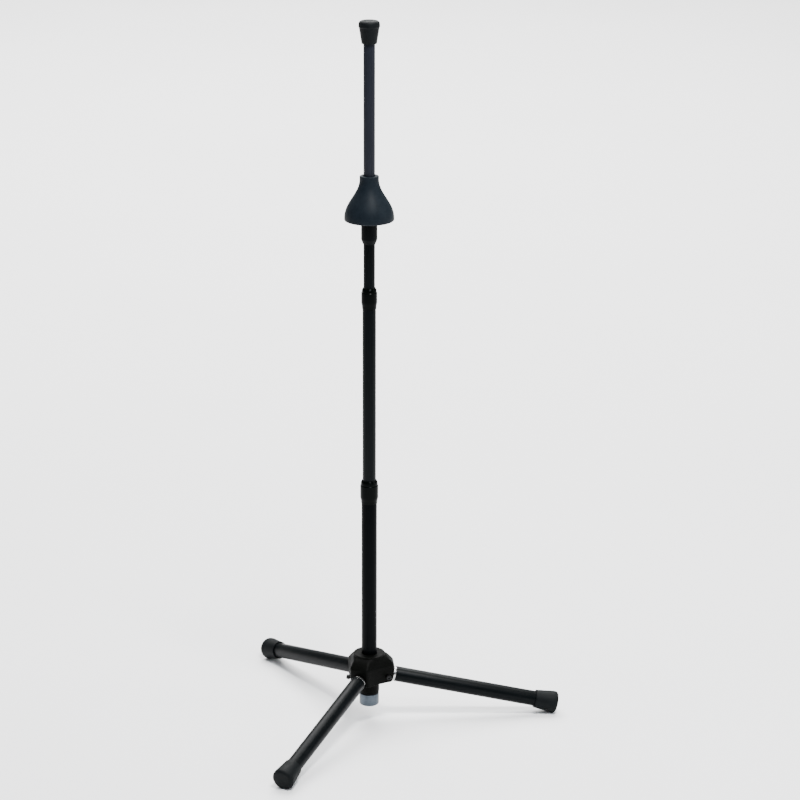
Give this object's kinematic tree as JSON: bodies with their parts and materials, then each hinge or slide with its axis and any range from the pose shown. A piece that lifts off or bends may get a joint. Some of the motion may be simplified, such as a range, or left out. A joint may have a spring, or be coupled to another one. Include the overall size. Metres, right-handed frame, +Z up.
{
  "type": "trombone stand",
  "caption": "Black in-bell trombone stand: tripod base, telescoping mast with twist locks, and a cone under the upright peg that carries the bell.",
  "frame": {"origin": "centre of the bounding box on the floor plane; the mast axis stands 63.7 mm from it towards -X, because the legs spread evenly about the mast", "axes": "+Z up along the mast, +X towards leg 1, +Y across it towards leg 2's side"},
  "size_m": [0.4263, 0.4886, 1.0182],
  "materials": {
    "black_anodised": "satin black anodised aluminium tube",
    "hub_plastic": "fine-grained black moulded nylon",
    "lock_plastic": "polished black moulded plastic",
    "cone_plastic": "satin black moulded plastic",
    "collar_plastic": "dull black moulded plastic",
    "black_rubber": "matt black moulded rubber",
    "silver_aluminium": "turned bare aluminium",
    "bright_steel": "turned bright steel",
    "black_steel": "black oxide steel",
    "brass": "turned brass",
    "grey_acetal": "natural grey acetal, slightly waxy"
  },
  "bodies": {
    "base": {"hub_body": "hub_plastic", "bottom_tube": "black_anodised", "mast_plug": "silver_aluminium", "nut_washer": "black_rubber", "lower_lock_collet": "grey_acetal", "leg_socket_1": "brass", "leg_socket_2": "brass", "leg_socket_3": "brass", "leg_lock_screw_1": "black_steel", "leg_lock_screw_2": "black_steel", "leg_lock_screw_3": "black_steel"},
    "base_nut": {"base_nut": "silver_aluminium"},
    "lower_lock": {"lower_lock_sleeve": "lock_plastic"},
    "middle": {"middle_tube": "black_anodised", "middle_tube_glide": "grey_acetal", "upper_lock_collet": "grey_acetal"},
    "upper_lock": {"upper_lock_sleeve": "lock_plastic"},
    "upper": {"upper_tube": "black_anodised", "upper_tube_glide": "grey_acetal", "peg_coupler": "collar_plastic", "peg_stud": "silver_aluminium", "peg_tube": "black_anodised", "top_cap": "black_rubber"},
    "cone": {"bell_cone": "cone_plastic", "cone_bush": "grey_acetal"},
    "leg_1": {"leg_tube_1": "black_anodised", "leg_ferrule_1": "bright_steel", "leg_foot_1": "black_rubber"},
    "leg_2": {"leg_tube_2": "black_anodised", "leg_ferrule_2": "bright_steel", "leg_foot_2": "black_rubber"},
    "leg_3": {"leg_tube_3": "black_anodised", "leg_ferrule_3": "bright_steel", "leg_foot_3": "black_rubber"}
  },
  "joints": [
    {"name": "base_nut_turn", "type": "hinge", "parent": "base", "child": "base_nut", "pos_m": [-0.06366, 0, 0.03142], "axis": [0, 0, 1], "range_deg": [0, 2880]},
    {"name": "lower_lock_turn", "type": "hinge", "parent": "base", "child": "lower_lock", "pos_m": [-0.06366, 0, 0.34742], "axis": [0, 0, 1], "range_deg": [0, 90]},
    {"name": "middle_slide", "type": "slide", "parent": "base", "child": "middle", "axis": [0, 0, 1], "range_m": [-0.248, 0.02]},
    {"name": "upper_lock_turn", "type": "hinge", "parent": "middle", "child": "upper_lock", "pos_m": [-0.06366, 0, 0.63142], "axis": [0, 0, 1], "range_deg": [0, 90]},
    {"name": "upper_slide", "type": "slide", "parent": "middle", "child": "upper", "axis": [0, 0, 1], "range_m": [-0.06, 0.2]},
    {"name": "cone_slide", "type": "slide", "parent": "upper", "child": "cone", "axis": [0, 0, 1], "range_m": [0, 0.17]},
    {"name": "leg_1_slide", "type": "slide", "parent": "base", "child": "leg_1", "axis": [0.9758, 0, -0.2188], "range_m": [0, 0.04]},
    {"name": "leg_2_slide", "type": "slide", "parent": "base", "child": "leg_2", "axis": [-0.4879, 0.845, -0.2188], "range_m": [0, 0.04]},
    {"name": "leg_3_slide", "type": "slide", "parent": "base", "child": "leg_3", "axis": [-0.4879, -0.845, -0.2188], "range_m": [0, 0.04]}
  ]
}
